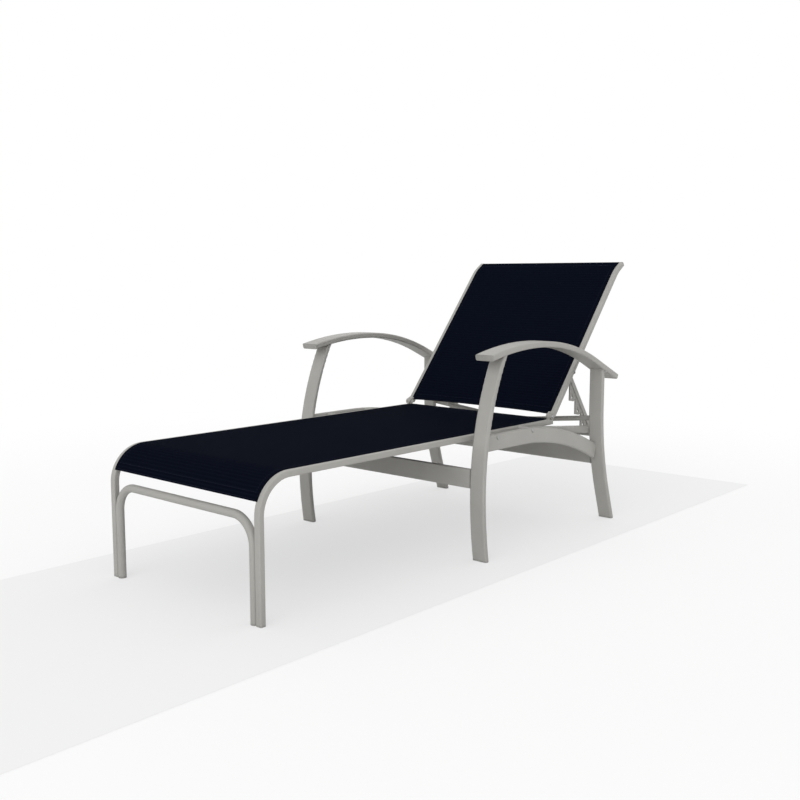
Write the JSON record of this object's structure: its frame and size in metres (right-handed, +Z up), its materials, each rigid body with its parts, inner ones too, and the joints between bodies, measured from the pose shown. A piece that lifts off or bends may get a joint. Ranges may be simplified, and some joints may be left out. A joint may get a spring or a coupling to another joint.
{
  "type": "sling chaise lounge",
  "caption": "Outdoor chaise lounge with a powder-coated tube frame, bowed arms, a bent foot end, a stretched woven sling and a reclining back on notched props.",
  "frame": {"origin": "centre of the bounding box on the floor plane", "axes": "+Z up, +Y from the foot end to the head end, +X across the lounge to its right side"},
  "size_m": [0.784, 1.6716, 0.8687],
  "materials": {
    "frame": "warm light grey powder coat, fine satin texture",
    "prop_frame": "warm light grey powder coat, worn at the notches",
    "sling": "dark navy woven vinyl-coated mesh with fine ribs across the width",
    "spline": "dark extruded plastic rod",
    "caps": "moulded grey plastic",
    "fasteners": "stainless steel"
  },
  "bodies": {
    "base": {"seat_rail_right": "frame", "seat_rail_left": "frame", "foot_stretcher": "frame", "seat_spreader_front": "frame", "seat_spreader_rear": "frame", "hinge_lug_right": "frame", "hinge_lug_left": "frame", "hinge_pins": "fasteners", "seat_sling": "sling", "seat_splines": "spline", "front_leg_right": "frame", "front_leg_left": "frame", "rear_leg_right": "frame", "rear_leg_left": "frame", "arm_right": "frame", "arm_left": "frame", "arm_caps": "caps", "front_cross_rail": "frame", "rear_cross_rail": "frame", "side_rail_right": "frame", "side_rail_left": "frame", "rear_brace_right": "frame", "rear_brace_left": "frame", "rail_spacers": "frame", "spacer_bolts": "fasteners", "support_bar": "frame", "rail_glides": "caps", "stretcher_glides": "caps", "leg_glides": "caps"},
    "back": {"back_rail_right": "frame", "back_rail_left": "frame", "back_fork_right": "frame", "back_fork_left": "frame", "back_spreader_lower": "frame", "back_spreader_upper": "frame", "back_sling": "sling", "back_splines": "spline", "back_caps": "caps", "prop_bolts": "fasteners"},
    "prop": {"prop_arm_right": "prop_frame", "prop_arm_left": "prop_frame", "prop_rack_right": "prop_frame", "prop_rack_left": "prop_frame", "prop_tie_bar": "prop_frame"}
  },
  "joints": [
    {"name": "back_recline", "type": "hinge", "parent": "base", "child": "back", "pos_m": [0, 0.39595, 0.371], "axis": [1, 0, 0], "range_deg": [-50.4, 0]},
    {"name": "prop_swing", "type": "hinge", "parent": "back", "child": "prop", "pos_m": [0, 0.5216, 0.50469], "axis": [1, 0, 0], "range_deg": [0, 104.4]}
  ],
  "couplings": [
    {"joint": "prop_swing", "follows": "back_recline", "ratio": -2.0714}
  ]
}
